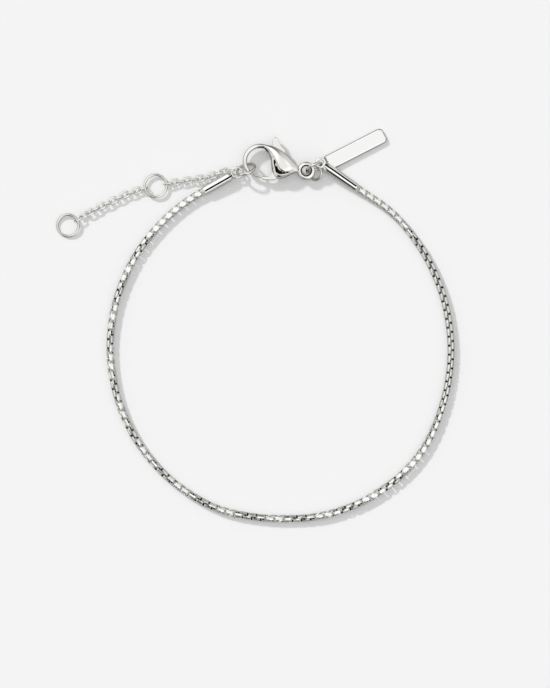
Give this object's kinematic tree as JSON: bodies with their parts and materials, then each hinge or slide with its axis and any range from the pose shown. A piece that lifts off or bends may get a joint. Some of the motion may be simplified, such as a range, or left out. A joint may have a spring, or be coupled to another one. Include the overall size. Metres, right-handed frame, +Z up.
{
  "type": "box chain bracelet",
  "caption": "Slim bracelet of square box links with tube end caps, a lobster clasp, a plain flat tag and an extender chain with two rings.",
  "frame": {"origin": "Under the middle of the whole bracelet, on the surface that it lies on.", "axes": "+Z up from the surface, +X towards the tag's side, +Y towards the clasp."},
  "size_m": [0.0627, 0.0619, 0.0029],
  "materials": {
    "box_chain": "polished silver",
    "end_cap": "polished silver",
    "ring_wire": "polished silver wire",
    "clasp": "polished cast silver",
    "lever": "polished cast silver",
    "pin": "polished steel",
    "tag": "bright polished silver",
    "extender": "polished silver wire"
  },
  "bodies": {
    "bracelet": {"box_chain_left": "box_chain", "box_chain_right": "box_chain", "left_end_cap": "end_cap", "right_end_cap": "end_cap", "hook_ring": "ring_wire", "clasp_body": "clasp", "lever_pin": "pin", "clasp_ring": "ring_wire", "tag_ring": "ring_wire", "tag": "tag", "extender_chain_inner": "extender", "extender_ring_middle": "ring_wire", "extender_chain_outer": "extender", "extender_ring_end": "ring_wire"},
    "lever": {"clasp_lever": "lever"}
  },
  "joints": [
    {"name": "lever_hinge", "type": "hinge", "parent": "bracelet", "child": "lever", "pos_m": [0.00331, 0.02525, 0.0013], "axis": [0, 0, 1], "range_deg": [-15, 0], "stiffness_Nm_per_rad": 0.00002}
  ]
}
